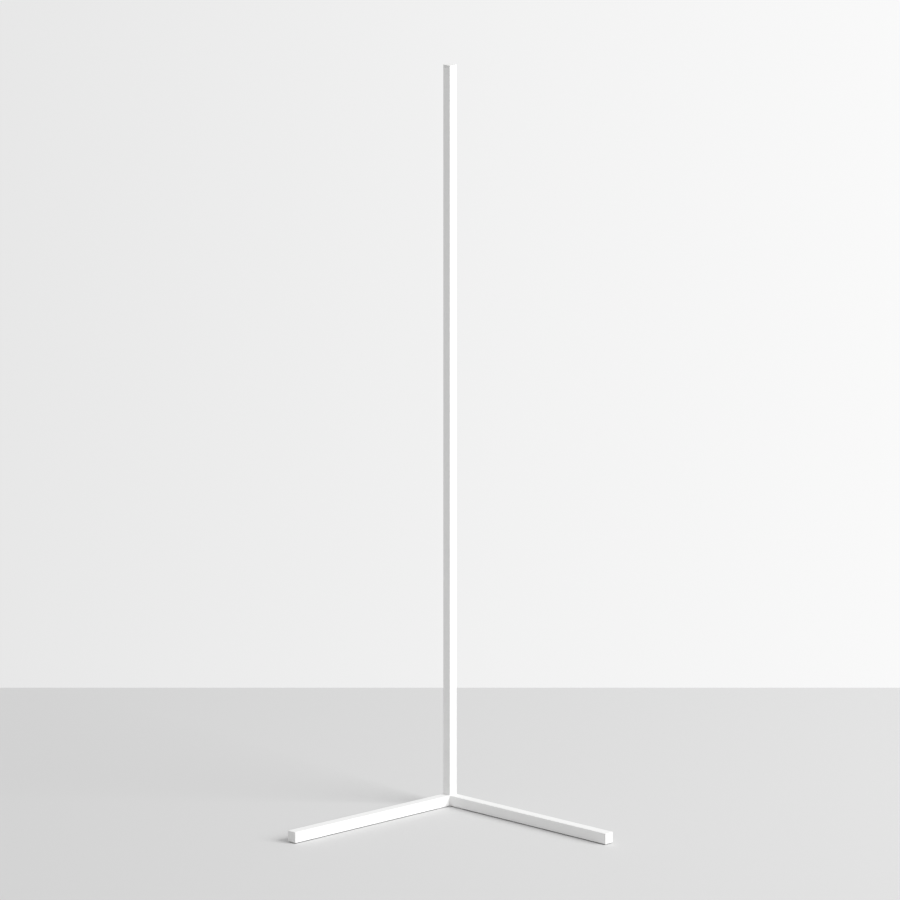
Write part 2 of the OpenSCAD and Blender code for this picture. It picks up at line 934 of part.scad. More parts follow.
module tube_along(path, r) {
    last = len(path) - 1;
    points = [
        for (i = [0 : last])
            each ring(path[i], unit(path[min(i + 1, last)] - path[max(i - 1, 0)]), r)
    ];
    sides = [
        for (i = [0 : last - 1], k = [0 : lead_sides - 1])
            let (next = (k + 1) % lead_sides, a = i * lead_sides, b = a + lead_sides)
            [a + k, b + k, b + next, a + next]
    ];
    first_end = [for (k = [0 : lead_sides - 1]) k];
    last_end = [for (k = [lead_sides - 1 : -1 : 0]) last * lead_sides + k];
    polyhedron(points, concat(sides, [first_end, last_end]));
}

// From a solder tag in the block, round and up through the grommet, to a pad on the strip
function lead_route(start_y, side) = let (
    across = side * lead_spread,
    landing = side * lead_pad_spread,
    hole = diagonal_point(across, grommet_back, 0),
    foot = strip_z0 + pad_lift
) [
    [neck_end + 0.3, start_y, inlet_z],
    [neck_end + 0.6 * tag_l, start_y, inlet_z],
    [turn_x, start_y, inlet_z],
    [turn_x + turn_r * sin(60), start_y, inlet_z + turn_r * (1 - cos(60))],
    [turn_x + turn_r * sin(120), start_y, inlet_z + turn_r * (1 - cos(120))],
    [turn_x, start_y, lane_z],
    [(turn_x + hole.x) / 2, (start_y + hole.y) / 2, lane_z],
    [hole.x + 0.5, hole.y - 0.3, lane_z + 0.2],
    [hole.x, hole.y, cavity_z1 + 0.5],
    [hole.x, hole.y, base_z1],
    [hole.x, hole.y, base_z1 + grommet_rim_t + 1],
    diagonal_point(across, grommet_back * 0.7, base_z1 + strip_start * 0.3),
    diagonal_point(landing, lie_depth + 1, base_z1 + strip_start * 0.7),
    diagonal_point(landing, lie_depth, base_z1 + strip_start * 0.88),
    diagonal_point(landing, lie_depth, foot),
    diagonal_point(landing, lie_depth, foot + solder_pad_h * 0.9)
];

module lead_positive() {
    color("firebrick")
        tube_along(smooth(lead_route(-contact_t / 2 - lead_flat, -1), 3), lead_d / 2);
}

module lead_negative() {
    color("black")
        tube_along(smooth(lead_route(ring_tag_y - lead_flat, 1), 3), lead_d / 2);
}

module lead_grommet() {
    color("black")
        on_diagonal()
            translate([0, grommet_back, 0])
                difference() {
                    union() {
                        translate([0, 0, cavity_z1 - grommet_rim_t])
                            cylinder(h = grommet_rim_t, r = grommet_rim_r);
                        translate([0, 0, cavity_z1])
                            cylinder(h = block_roof, r = roof_hole_r);
                        translate([0, 0, base_z1])
                            cylinder(h = grommet_rim_t, r = grommet_rim_r);
                    }
                    translate([0, 0, cavity_z1 - grommet_rim_t - cut])
                        cylinder(h = block_roof + 2 * grommet_rim_t + 2 * cut, r = grommet_hole_r);
                }
}

pole_profile();
diffuser();
strip_board();
strip_leds();
strip_resistors();
strip_pads();
top_cap();
cap_screw();
pole_screws();
corner_block();
bottom_plate();
plate_screws();
corner_pad();
leg_left();
leg_left_cap();
leg_left_pad();
leg_right();
leg_right_cap();
leg_right_pad();
leg_screws();
inlet_shell();
inlet_insert();
inlet_pin();
inlet_sleeve_tag();
inlet_nut();
lead_positive();
lead_negative();
lead_grommet();
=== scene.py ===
import math

import bmesh
import bpy
from mathutils import Matrix, Vector


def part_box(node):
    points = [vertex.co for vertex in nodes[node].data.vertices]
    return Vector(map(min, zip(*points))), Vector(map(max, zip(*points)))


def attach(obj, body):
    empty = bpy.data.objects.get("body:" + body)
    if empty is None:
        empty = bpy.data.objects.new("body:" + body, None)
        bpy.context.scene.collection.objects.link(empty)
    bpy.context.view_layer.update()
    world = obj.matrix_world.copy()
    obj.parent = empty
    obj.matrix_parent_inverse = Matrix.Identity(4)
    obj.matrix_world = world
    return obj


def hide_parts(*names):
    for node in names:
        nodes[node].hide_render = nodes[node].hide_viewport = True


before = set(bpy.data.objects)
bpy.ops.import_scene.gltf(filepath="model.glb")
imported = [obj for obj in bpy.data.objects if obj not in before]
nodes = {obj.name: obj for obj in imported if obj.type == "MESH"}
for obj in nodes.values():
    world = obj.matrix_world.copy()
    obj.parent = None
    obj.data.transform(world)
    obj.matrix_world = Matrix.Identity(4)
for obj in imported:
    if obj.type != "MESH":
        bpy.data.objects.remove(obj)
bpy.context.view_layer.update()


# ---- Camera ----
# The photograph's view: level, 1.02 m above the floor and 4.14 m from the post, on the diagonal
# between the bars and turned a little to the left. The picture is shifted right and down from
# there, which keeps the post upright in its middle.

picture_px = 900
horizon_px = 264.3
axis_px = 413.7
post_px = 449.9
lens_px = 2195.8
sensor_mm = 36
heading = math.radians(45.86)
view_depth = 4.1415
view_height = 1.0189
view_right = Vector((math.cos(heading), math.sin(heading), 0))
view_forward = Vector((-math.sin(heading), math.cos(heading), 0))

camera = bpy.data.cameras.new("camera")
camera.sensor_width = sensor_mm
camera.lens = lens_px * sensor_mm / picture_px
camera.shift_x = (picture_px / 2 - axis_px) / picture_px
camera.shift_y = (horizon_px - picture_px / 2) / picture_px
camera_object = bpy.data.objects.new("camera", camera)
post_aside = (post_px - axis_px) / lens_px * view_depth
camera_object.location = (
    -view_depth * view_forward - post_aside * view_right + Vector((0, 0, view_height))
)
camera_object.rotation_euler = (math.pi / 2, 0, heading)
bpy.context.scene.collection.objects.link(camera_object)
bpy.context.scene.camera = camera_object


# ---- Studio ----
# A pale floor ends behind the lamp, before a bright backdrop. The floor's colour is painted lighter
# toward the back, and the backdrop that the camera sees is painted brighter toward the right:
# painted shade and painted light. Even light comes from all round, and more from one large soft
# lamp high on the right, toward the camera.

def link_nodes(tree, *pairs):
    for output, entry in pairs:
        tree.links.new(output, entry)


def math_node(tree, operation, *values):
    """A node for one step of arithmetic. The values go to its entries after the first."""
    node = tree.nodes.new("ShaderNodeMath")
    node.operation = operation
    for entry, value in enumerate(values, start=1):
        node.inputs[entry].default_value = value
    return node


def distance_along(tree, direction):
    """A node that gives how far a place lies along a direction."""
    node = tree.nodes.new("ShaderNodeVectorMath")
    node.operation = "DOT_PRODUCT"
    node.inputs[1].default_value = direction
    return node


def ramp(tree, place, direction, slope, middle):
    """A value that rises evenly along a direction and is middle at the origin."""
    along = distance_along(tree, direction)
    value = math_node(tree, "MULTIPLY_ADD", slope, middle)
    link_nodes(tree, (place, along.inputs[0]), (along.outputs["Value"], value.inputs[0]))
    return value.outputs["Value"]


floor_behind = 1.142
floor_reach = 5
corners = [
    view_forward * depth + view_right * side
    for depth, side in (
        (floor_behind, floor_reach), (floor_behind, -floor_reach),
        (-floor_reach, -floor_reach), (-floor_reach, floor_reach),
    )
]
floor_mesh = bpy.data.meshes.new("floor")
floor_mesh.from_pydata(corners, [], [(0, 1, 2, 3)])
floor = bpy.data.objects.new("floor", floor_mesh)
bpy.context.scene.collection.objects.link(floor)

# The floor's colour rises evenly toward the back: painted shade on a plain floor.
floor_grey = 0.665
floor_shade_slope = 0.037
floor_roughness = 0.85
floor_paint = bpy.data.materials.new("floor_paint")
floor_paint.use_nodes = True
floor_tree = floor_paint.node_tree
floor_place = floor_tree.nodes.new("ShaderNodeTexCoord")
floor_shader = floor_tree.nodes["Principled BSDF"]
floor_shader.inputs["Roughness"].default_value = floor_roughness
link_nodes(floor_tree, (
    ramp(floor_tree, floor_place.outputs["Object"], view_forward, floor_shade_slope, floor_grey),
    floor_shader.inputs["Base Color"],
))
floor_mesh.materials.append(floor_paint)

ambient = 0.58
# Only camera rays see the backdrop, which is painted brighter toward the right, as light falling on
# a wall from that side. Other rays get the even ambient.
backdrop_middle = 0.872
backdrop_light_slope = 0.37
world = bpy.data.worlds.new("studio")
bpy.context.scene.world = world
world.use_nodes = True
world_tree = world.node_tree
world_tree.nodes.clear()
toward = world_tree.nodes.new("ShaderNodeTexCoord")
seen = world_tree.nodes.new("ShaderNodeBackground")
lighting = world_tree.nodes.new("ShaderNodeBackground")
lighting.inputs["Strength"].default_value = ambient
path = world_tree.nodes.new("ShaderNodeLightPath")
mix = world_tree.nodes.new("ShaderNodeMixShader")
output = world_tree.nodes.new("ShaderNodeOutputWorld")
brightness = ramp(
    world_tree, toward.outputs["Generated"], view_right, backdrop_light_slope, backdrop_middle
)
link_nodes(
    world_tree,
    (brightness, seen.inputs["Strength"]),
    (path.outputs["Is Camera Ray"], mix.inputs["Fac"]),
    (lighting.outputs["Background"], mix.inputs[1]),
    (seen.outputs["Background"], mix.inputs[2]),
    (mix.outputs["Shader"], output.inputs["Surface"]),
)
for background in (seen, lighting):
    background.inputs["Color"].default_value = (1, 1, 1, 1)

key_direction = Vector((0.7976, 0.2592, 0.5446)).normalized()
key_distance = 9
key_width = 6.5
key_power = 799.438
key = bpy.data.lights.new("key", "AREA")
key.shape = "DISK"
key.size = key_width
key.energy = key_power
key_object = bpy.data.objects.new("key", key)
key_object.location = key_direction * key_distance
key_object.rotation_euler = key_direction.to_track_quat("Z", "Y").to_euler()
key_object.visible_camera = False
bpy.context.scene.collection.objects.link(key_object)

bpy.context.scene.view_settings.view_transform = "Standard"


# ---- Post ----
# The post is one aluminium extrusion, 18 mm square and powder coated white. Its two outer walls
# meet in the edge nearest the room, and the web behind them, at 45 degrees, holds the strip.

mm = 0.001
white_paint = (0.89, 0.89, 0.885)


def grained(name, colour, roughness, grain, relief, stretch=(1, 1, 1), tone=0.02, metallic=0):
    """A finish whose colour, gloss and relief follow one grain, in the object's own coordinates."""
    material = bpy.data.materials.new(name)
    material.use_nodes = True
    tree = material.node_tree
    shader = tree.nodes["Principled BSDF"]
    shader.inputs["Metallic"].default_value = metallic
    place = tree.nodes.new("ShaderNodeTexCoord")
    mapping = tree.nodes.new("ShaderNodeMapping")
    mapping.inputs["Scale"].default_value = stretch
    noise = tree.nodes.new("ShaderNodeTexNoise")
    noise.inputs["Scale"].default_value = 1 / grain
    noise.inputs["Detail"].default_value = 3
    shades = tree.nodes.new("ShaderNodeValToRGB")
    shades.name = "shades"
    for stop, position, share in zip(shades.color_ramp.elements, (0.3, 0.7), (1 - tone, 1 + tone)):
        stop.position = position
        stop.color = (*(min(channel * share, 1) for channel in colour), 1)
    gloss = tree.nodes.new("ShaderNodeMapRange")
    gloss.inputs["To Min"].default_value = roughness * 0.9
    gloss.inputs["To Max"].default_value = min(roughness * 1.1, 1)
    bump = tree.nodes.new("ShaderNodeBump")
    bump.name = "bump"
    bump.inputs["Strength"].default_value = 1
    bump.inputs["Distance"].default_value = relief
    link_nodes(
        tree,
        (place.outputs["Object"], mapping.inputs["Vector"]),
        (mapping.outputs["Vector"], noise.inputs["Vector"]),
        (noise.outputs["Fac"], shades.inputs["Fac"]),
        (noise.outputs["Fac"], gloss.inputs["Value"]),
        (noise.outputs["Fac"], bump.inputs["Height"]),
        (shades.outputs["Color"], shader.inputs["Base Color"]),
        (gloss.outputs["Result"], shader.inputs["Roughness"]),
        (bump.outputs["Normal"], shader.inputs["Normal"]),
    )
    return material


def dress(node, finish):
    nodes[node].data.materials.clear()
    nodes[node].data.materials.append(finish)


# The coat's orange peel runs a little along the post, over the die lines of the extrusion
post_coat = grained(
    "post_coat", white_paint, 0.45,
    grain=1.1 * mm, relief=0.008 * mm, stretch=(1, 1, 0.25), tone=0.012,
)
dress("pole_profile", post_coat)


# ---- Opal cover ----
# The cover over the light is extruded opal acrylic. It makes the post's two rear faces and clips
# behind the lips of the aluminium. It is translucent, satin, and has faint lines along it.

opal_white = (0.9, 0.9, 0.88)
opal_acrylic = grained(
    "opal_acrylic", opal_white, 0.32,
    grain=0.7 * mm, relief=0.004 * mm, stretch=(1, 1, 0.008), tone=0.01,
)
opal = opal_acrylic.node_tree.nodes["Principled BSDF"]
opal.inputs["Subsurface Weight"].default_value = 0.45
opal.inputs["Subsurface Radius"].default_value = (1, 0.95, 0.85)
opal.inputs["Subsurface Scale"].default_value = 2.5 * mm
opal.inputs["IOR"].default_value = 1.49
dress("diffuser", opal_acrylic)


# ---- Light strip ----
# A flexible board with white solder mask is glued to the web. It can be cut after every third
# light, where a line is printed across it. The copper rails in it show as a low ridge along each
# of its edges.

into_corner = Vector((-1, 1, 0)).normalized()
along_web = Vector((1, 1, 0)).normalized()
upward = Vector((0, 0, 1))


def span(node, direction):
    """The lowest and highest place of a node along a direction."""
    places = [direction.dot(vertex.co) for vertex in nodes[node].data.vertices]
    return min(places), max(places)


strip_foot, strip_head = span("strip_board", upward)
strip_face = span("strip_board", into_corner)[1]
light_pitch = 16.667 * mm
lights_per_cut = 3
cut_length = light_pitch * lights_per_cut
lights = round((strip_head - strip_foot) / light_pitch)
cuts = lights // lights_per_cut
cut_line_width = 0.3 * mm
cut_line_colour = (0.3, 0.29, 0.27, 1)
rail_inner = 3.6 * mm
rail_relief = 0.03 * mm

solder_mask = grained(
    "solder_mask", (0.86, 0.85, 0.8), 0.38, grain=1.5 * mm, relief=0.006 * mm, tone=0.015
)
tree = solder_mask.node_tree
place = tree.nodes.new("ShaderNodeTexCoord")
axes = tree.nodes.new("ShaderNodeSeparateXYZ")
above_foot = math_node(tree, "SUBTRACT", strip_foot)
from_cut = math_node(tree, "PINGPONG", cut_length / 2)
on_line = math_node(tree, "LESS_THAN", cut_line_width / 2)
printed = tree.nodes.new("ShaderNodeMix")
printed.data_type = "RGBA"
printed.inputs["B"].default_value = cut_line_colour
across = distance_along(tree, along_web)
from_middle = math_node(tree, "ABSOLUTE")
on_rail = math_node(tree, "GREATER_THAN", rail_inner)
rails = tree.nodes.new("ShaderNodeBump")
rails.inputs["Distance"].default_value = rail_relief
shader = tree.nodes["Principled BSDF"]
link_nodes(
    tree,
    (place.outputs["Object"], axes.inputs["Vector"]),
    (axes.outputs["Z"], above_foot.inputs[0]),
    (above_foot.outputs["Value"], from_cut.inputs[0]),
    (from_cut.outputs["Value"], on_line.inputs[0]),
    (on_line.outputs["Value"], printed.inputs["Factor"]),
    (tree.nodes["shades"].outputs["Color"], printed.inputs["A"]),
    (printed.outputs["Result"], shader.inputs["Base Color"]),
    (place.outputs["Object"], across.inputs[0]),
    (across.outputs["Value"], from_middle.inputs[0]),
    (from_middle.outputs["Value"], on_rail.inputs[0]),
    (on_rail.outputs["Value"], rails.inputs["Height"]),
    (tree.nodes["bump"].outputs["Normal"], rails.inputs["Normal"]),
    (rails.outputs["Normal"], shader.inputs["Normal"]),
)
dress("strip_board", solder_mask)


# ---- Light packages ----
# Each light is a white moulded frame filled with yellow phosphor and soldered flat on the board.
# There are three to each length of the strip.

def block_ring(width, height, corner, z, centre=(0, 0)):
    """A rectangle whose rounded corners have four points each, counterclockwise."""
    ring = []
    for quarter, (side_x, side_y) in enumerate(((1, 1), (-1, 1), (-1, -1), (1, -1))):
        for step in range(4):
            angle = (quarter + step / 3) * math.pi / 2
            ring.append((
                centre[0] + side_x * (width / 2 - corner) + corner * math.cos(angle),
                centre[1] + side_y * (height / 2 - corner) + corner * math.sin(angle),
                z,
            ))
    return ring


def stepped(width, height, levels):
    """Rings of one block. Each level is its inset on every side, its corner's radius and its z."""
    return [
        block_ring(width - 2 * inset, height - 2 * inset, corner, z) for inset, corner, z in levels
    ]


def lofted(name, rings, loop=False, mark=None, marked=(), smooth_below=35):
    """A closed skin over rings of equally many points. The faces of the marked bands carry 1 in
    the attribute that mark names; band -1 is the first end, and the last band the other end."""
    sides = len(rings[0])
    bands = len(rings) if loop else len(rings) - 1
    faces = []
    values = []
    for band in range(bands):
        here = band * sides
        there = (band + 1) % len(rings) * sides
        for side in range(sides):
            after = (side + 1) % sides
            faces.append((here + side, here + after, there + after, there + side))
        values += [float(band in marked)] * sides
    if not loop:
        faces.append(tuple(reversed(range(sides))))
        faces.append(tuple(bands * sides + side for side in range(sides)))
        values += [float(-1 in marked), float(bands in marked)]
    mesh = bpy.data.meshes.new(name)
    mesh.from_pydata([point for ring in rings for point in ring], [], faces)
    if mark:
        mesh.attributes.new(mark, "FLOAT", "FACE").data.foreach_set("value", values)
    mesh.shade_smooth()
    mesh.set_sharp_from_angle(angle=math.radians(smooth_below))
    return mesh


def in_out(tree, sockets):
    """Gives a node tree its named inputs and one geometry output, and returns the two ends."""
    for socket, kind in sockets:
        tree.interface.new_socket(socket, in_out="INPUT", socket_type=kind)
    tree.interface.new_socket("Geometry", in_out="OUTPUT", socket_type="NodeSocketGeometry")
    return tree.nodes.new("NodeGroupInput"), tree.nodes.new("NodeGroupOutput")


# Sets a shape at even steps along a line, and the whole line again at even steps and turns
rows = bpy.data.node_groups.new("rows", "GeometryNodeTree")
given, made = in_out(rows, (
    ("Shape", "NodeSocketObject"), ("Turn", "NodeSocketVector"), ("First", "NodeSocketVector"),
    ("Step", "NodeSocketVector"), ("Count", "NodeSocketInt"), ("Row Step", "NodeSocketVector"),
    ("Row Turn", "NodeSocketFloat"), ("Rows", "NodeSocketInt"), ("Finish", "NodeSocketMaterial"),
))
shape = rows.nodes.new("GeometryNodeObjectInfo")
line = rows.nodes.new("GeometryNodeMeshLine")
turned = rows.nodes.new("FunctionNodeEulerToRotation")
one_row = rows.nodes.new("GeometryNodeInstanceOnPoints")
row_line = rows.nodes.new("GeometryNodeMeshLine")
number = rows.nodes.new("GeometryNodeInputIndex")
row_angle = math_node(rows, "MULTIPLY")
about_z = rows.nodes.new("ShaderNodeCombineXYZ")
row_turned = rows.nodes.new("FunctionNodeEulerToRotation")
all_rows = rows.nodes.new("GeometryNodeInstanceOnPoints")
realize = rows.nodes.new("GeometryNodeRealizeInstances")
paint = rows.nodes.new("GeometryNodeSetMaterial")
link_nodes(
    rows,
    (given.outputs["Shape"], shape.inputs["Object"]),
    (given.outputs["Count"], line.inputs["Count"]),
    (given.outputs["First"], line.inputs["Start Location"]),
    (given.outputs["Step"], line.inputs["Offset"]),
    (given.outputs["Turn"], turned.inputs["Euler"]),
    (line.outputs["Mesh"], one_row.inputs["Points"]),
    (shape.outputs["Geometry"], one_row.inputs["Instance"]),
    (turned.outputs["Rotation"], one_row.inputs["Rotation"]),
    (given.outputs["Rows"], row_line.inputs["Count"]),
    (given.outputs["Row Step"], row_line.inputs["Offset"]),
    (number.outputs["Index"], row_angle.inputs[0]),
    (given.outputs["Row Turn"], row_angle.inputs[1]),
    (row_angle.outputs["Value"], about_z.inputs["Z"]),
    (about_z.outputs["Vector"], row_turned.inputs["Euler"]),
    (row_line.outputs["Mesh"], all_rows.inputs["Points"]),
    (one_row.outputs["Instances"], all_rows.inputs["Instance"]),
    (row_turned.outputs["Rotation"], all_rows.inputs["Rotation"]),
    (all_rows.outputs["Instances"], realize.inputs["Geometry"]),
    (realize.outputs["Geometry"], paint.inputs["Geometry"]),
    (given.outputs["Finish"], paint.inputs["Material"]),
    (paint.outputs["Geometry"], made.inputs["Geometry"]),
)


def worked(name, mesh, group, entries):
    """An object whose mesh is what a node tree makes of the given one, with the named entries."""
    piece = bpy.data.objects.new(name, mesh)
    bpy.context.scene.collection.objects.link(piece)
    modifier = piece.modifiers.new(group.name, "NODES")
    modifier.node_group = group
    for socket in group.interface.items_tree:
        if socket.in_out == "INPUT" and socket.name in entries:
            modifier[socket.identifier] = entries[socket.name]
    done = piece.evaluated_get(bpy.context.evaluated_depsgraph_get())
    baked = bpy.data.meshes.new_from_object(done)
    piece.modifiers.clear()
    piece.data = baked
    baked.name = name
    return piece


def set_in_rows(name, shape_mesh, finish, first, turn, step=(0, 0, 0), count=1,
                row_step=(0, 0, 0), row_turn=0, row_count=1):
    pattern = bpy.data.objects.new(name + "_pattern", shape_mesh)
    piece = worked(name, bpy.data.meshes.new(name), rows, {
        "Shape": pattern, "Turn": turn, "First": first, "Step": step, "Count": count,
        "Row Step": row_step, "Row Turn": row_turn, "Rows": row_count, "Finish": finish,
    })
    bpy.data.objects.remove(pattern)
    return piece


def stand_for(piece, node):
    """The piece rides on the lamp and stands for the plain CAD node, which is hidden."""
    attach(piece, "root")
    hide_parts(node)


def two_tone(finish, mark, colour, roughness, metallic=0):
    """Gives the faces that carry the mark another colour, gloss and metal."""
    tree = finish.node_tree
    shader = tree.nodes["Principled BSDF"]
    marks = tree.nodes.new("ShaderNodeAttribute")
    marks.attribute_name = mark
    colours = tree.nodes.new("ShaderNodeMix")
    colours.data_type = "RGBA"
    colours.inputs["B"].default_value = (*colour, 1)
    link_nodes(
        tree,
        (marks.outputs["Fac"], colours.inputs["Factor"]),
        (tree.nodes["shades"].outputs["Color"], colours.inputs["A"]),
        (colours.outputs["Result"], shader.inputs["Base Color"]),
    )
    for entry, marked_value in (("Roughness", roughness), ("Metallic", metallic)):
        blend = tree.nodes.new("ShaderNodeMix")
        blend.inputs["A"].default_value = shader.inputs[entry].default_value
        blend.inputs["B"].default_value = marked_value
        if shader.inputs[entry].links:
            tree.links.new(shader.inputs[entry].links[0].from_socket, blend.inputs["A"])
        link_nodes(
            tree,
            (marks.outputs["Fac"], blend.inputs["Factor"]),
            (blend.outputs["Result"], shader.inputs[entry]),
        )
    return finish


facing_corner = (-math.pi / 2, 0, math.pi / 4)
light_width = 2.8 * mm
light_height = 3.5 * mm
light_depth = 0.8 * mm
light_rim = 0.35 * mm
light_taper = 0.05 * mm
straight_height = 0.45 * light_depth
side_corner = 0.05 * mm
top_corner = 0.1 * mm
cup_depth = 0.08 * mm
cup_corner = 0.9 * mm
cup_floor_corner = 0.85 * mm
cup_floor_inset = 1.15 * light_rim
light_rings = stepped(light_width, light_height, (
    (0, side_corner, 0),
    (0, side_corner, straight_height),
    (light_taper, top_corner, light_depth),
    (light_rim, cup_corner, light_depth),
    (cup_floor_inset, cup_floor_corner, light_depth - cup_depth),
))
phosphor_band = len(light_rings) - 1
light_package = two_tone(
    grained("light_package", (0.85, 0.85, 0.82), 0.4, grain=0.4 * mm, relief=0.002 * mm),
    "phosphor", (0.86, 0.7, 0.2), 0.25,
)
strip_lights = set_in_rows(
    "strip_lights",
    lofted("light_package", light_rings, mark="phosphor", marked=(phosphor_band,)),
    light_package,
    first=into_corner * strip_face + Vector((0, 0, strip_foot + light_pitch / 2)),
    turn=facing_corner, step=(0, 0, light_pitch), count=lights,
)
stand_for(strip_lights, "strip_leds")


# ---- Resistors ----
# Each length of the strip has one chip resistor, beside the row of lights and level with the gap
# between its first two: a black glazed body on ceramic with a tinned cap at both ends.

resistor_width = 1.25 * mm
resistor_height = 2 * mm
resistor_depth = 0.5 * mm
resistor_corner = 0.06 * mm
end_inset = 0.08 * mm
end_rise = 0.04 * mm
cap_length = 0.35 * mm
cap_thickness = 0.04 * mm
lower_levels = (
    (end_inset, resistor_corner, 0),
    (0, resistor_corner, end_rise),
    (0, resistor_corner, cap_length),
    (cap_thickness, resistor_corner, cap_length),
)
upper_levels = tuple(
    (inset, corner, resistor_height - z) for inset, corner, z in reversed(lower_levels)
)
resistor_rings = stepped(resistor_width, resistor_depth, lower_levels + upper_levels)
glazed_band = len(lower_levels) - 1
tinned_bands = [band for band in range(-1, len(resistor_rings)) if band != glazed_band]
black_glaze = grained(
    "chip_resistor", (0.025, 0.025, 0.028), 0.3, grain=0.5 * mm, relief=0.002 * mm, tone=0.1
)
chip_resistor = two_tone(black_glaze, "tinned", (0.75, 0.75, 0.73), 0.25, metallic=1)
first_resistor = (
    along_web * sum(span("strip_resistors", along_web)) / 2
    + into_corner * (strip_face + resistor_depth / 2)
    + Vector((0, 0, strip_foot + light_pitch - resistor_height / 2))
)
resistors = set_in_rows(
    "resistors",
    lofted("chip_resistor", resistor_rings, mark="tinned", marked=tinned_bands),
    chip_resistor,
    first=first_resistor, turn=(0, 0, math.pi / 4), step=(0, 0, cut_length), count=cuts,
)
stand_for(resistors, "strip_resistors")


# ---- Solder pads ----
# A pair of copper pads, tinned with a low cushion of solder, lies above each cut line. The
# lowest pair carries the leads, under two larger drops of solder.

pad_width = 2 * mm
pad_height = 3.2 * mm
pad_depth = 0.1 * mm
pad_spacing = 3.4 * mm
pad_lift = 0.6 * mm
pad_corner = 0.3 * mm
cushion_corner = 0.4 * mm
pad_rings = stepped(pad_width, pad_height, (
    (0, pad_corner, 0),
    (0, pad_corner, 0.4 * pad_depth),
    (0.15 * mm, cushion_corner, 0.8 * pad_depth),
    (0.5 * mm, cushion_corner, pad_depth),
))
first_pad = (
    along_web * -pad_spacing / 2
    + into_corner * strip_face
    + Vector((0, 0, strip_foot + pad_lift + pad_height / 2))
)
tin = grained(
    "tin", (0.72, 0.7, 0.66), 0.28, grain=0.6 * mm, relief=0.01 * mm, tone=0.08, metallic=1
)
solder_pads = set_in_rows(
    "solder_pads", lofted("solder_pad", pad_rings), tin,
    first=first_pad, turn=facing_corner, step=(0, 0, cut_length), count=cuts,
    row_step=along_web * pad_spacing, row_count=2,
)
stand_for(solder_pads, "strip_pads")

drop_width = 1.8 * mm
drop_height = 2.6 * mm
drop_corner = 0.85 * mm
drop_depth = 1.15 * mm
drop_steps = 5
drop_rings = []
for step in range(drop_steps + 1):
    climb = step / drop_steps * math.pi / 2
    size = math.cos(0.9 * climb)
    drop_rings.append(block_ring(
        drop_width * size, drop_height * size, drop_corner * size, drop_depth * math.sin(climb)
    ))
solder_drops = set_in_rows(
    "solder_drops", lofted("solder_drop", drop_rings, smooth_below=80), tin,
    first=first_pad + into_corner * pad_depth * 0.5, turn=facing_corner,
    row_step=along_web * pad_spacing, row_count=2,
)
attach(solder_drops, "root")


# ---- Cap ----
# The post's cap is a white moulding, pitched down toward the room. Its plug enters the
# extrusion's chamber, and one countersunk screw through the web holds it.

moulding = grained(
    "white_moulding", (0.8, 0.8, 0.795), 0.5, grain=0.35 * mm, relief=0.006 * mm, tone=0.01
)
dress("top_cap", moulding)

zinc = grained(
    "zinc", (0.6, 0.62, 0.64), 0.3, grain=2.5 * mm, relief=0.003 * mm, tone=0.12, metallic=1
)
web_head_d = 5.4 * mm
web_screw = {
    "diameter": 3 * mm, "head_diameter": web_head_d, "length": 6.5 * mm, "pitch": 0.5 * mm
}
rings_per_turn = 6


def round_ring(radius, z, sides=24):
    return [
        (radius * math.cos(math.tau * side / sides), radius * math.sin(math.tau * side / sides), z)
        for side in range(sides)
    ]


def thread_ring(crest, depth, pitch, z, sides=24):
    """A ring across a thread: the radius falls from crest to root and back once in each turn."""
    ring = []
    for side in range(sides):
        turn = (z / pitch - side / sides) % 1
        radius = crest - depth * abs(2 * turn - 1)
        angle = math.tau * side / sides
        ring.append((radius * math.cos(angle), radius * math.sin(angle), z))
    return ring


def hexagon_ring(flats, z, sides=24, widest=math.inf):
    """A hexagon as wide as flats, its corners cut back to the widest radius."""
    ring = []
    for side in range(sides):
        angle = math.tau * side / sides
        off_flat = (angle + math.pi / 6) % (math.pi / 3) - math.pi / 6
        radius = min(flats / 2 / math.cos(off_flat), widest)
        ring.append((radius * math.cos(angle), radius * math.sin(angle), z))
    return ring


def countersunk_screw(name, diameter, head_diameter, length, pitch):
    """A hexagon socket screw, its head's face at z = 0 and its shank downward."""
    head = (head_diameter - diameter) / 2
    thread_depth = 0.55 * pitch
    point = 0.12 * diameter
    head_rim = 0.12 * head
    rim_bevel = 0.05 * head
    socket = 0.42 * head_diameter
    socket_mouth = 1.08 * socket
    socket_bevel = 0.06 * head
    socket_depth = 0.75 * head
    socket_end = 0.3 * socket
    socket_end_depth = 0.9 * head
    thread_rings = round((length - head - point) / pitch * rings_per_turn)
    rings = [round_ring(diameter / 2 - thread_depth - 0.3 * point, -length)]
    for step in range(thread_rings):
        z = -length + point + step * pitch / rings_per_turn
        rings.append(thread_ring(diameter / 2, thread_depth, pitch, z))
    rings += [
        round_ring(diameter / 2, -head),
        round_ring(head_diameter / 2, -head_rim),
        round_ring(head_diameter / 2 - rim_bevel, 0),
        hexagon_ring(socket_mouth, 0),
        hexagon_ring(socket, -socket_bevel),
        hexagon_ring(socket, -socket_depth),
        hexagon_ring(socket_end, -socket_end_depth),
    ]
    return lofted(name, rings)


def height_of(node):
    """How high the middle of a node is."""
    return sum(span(node, upward)) / 2


web_light_side = span("strip_board", into_corner)[0]
cap_screw = set_in_rows(
    "cap_fixing",
    countersunk_screw("web_screw", **web_screw),
    zinc,
    first=into_corner * web_light_side + upward * height_of("cap_screw"),
    turn=facing_corner,
)
stand_for(cap_screw, "cap_screw")


# ---- Corner block ----
# The corner of the base is a zinc die casting, powder coated white. Two tenons on it enter the
# bars, and its spigot stands in the post, held by two countersunk screws through the web.

base_coat = grained(
    "base_coat", white_paint, 0.45, grain=0.9 * mm, relief=0.01 * mm, tone=0.012
)
dress("corner_block", base_coat)
dress("bottom_plate", base_coat)

